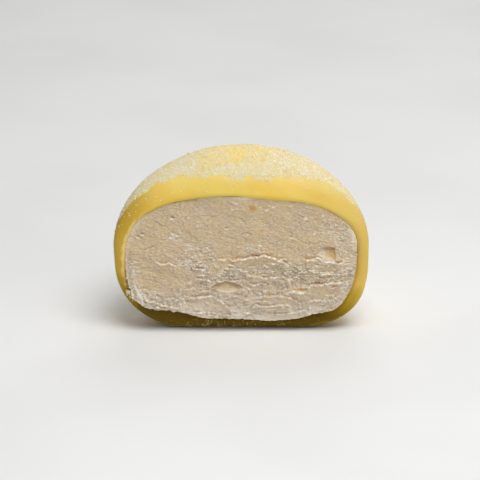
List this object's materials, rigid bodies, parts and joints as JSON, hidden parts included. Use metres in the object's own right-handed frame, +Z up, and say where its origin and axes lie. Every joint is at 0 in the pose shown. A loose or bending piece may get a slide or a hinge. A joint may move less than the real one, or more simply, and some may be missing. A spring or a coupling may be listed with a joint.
{
  "type": "passion fruit mochi half",
  "caption": "Half of a filled round mochi sweet: soft yellow rice-dough skin dusted with starch, cut open to show its pale brown filling, standing on its flat base.",
  "frame": {"origin": "middle of the bounding box's underside, on the surface the half stands on", "axes": "+Z up, -Y the way the cut face looks, +X to the right of someone who looks at the cut face"},
  "size_m": [0.044, 0.0238, 0.0315],
  "materials": {
    "dough": "satin yellow rice dough, dusted with white starch on the outside",
    "filling": "matt, frosty pale brown frozen filling with a broken, ledged cut face"
  },
  "bodies": {
    "root": {"skin": "dough", "filling": "filling"}
  },
  "joints": []
}
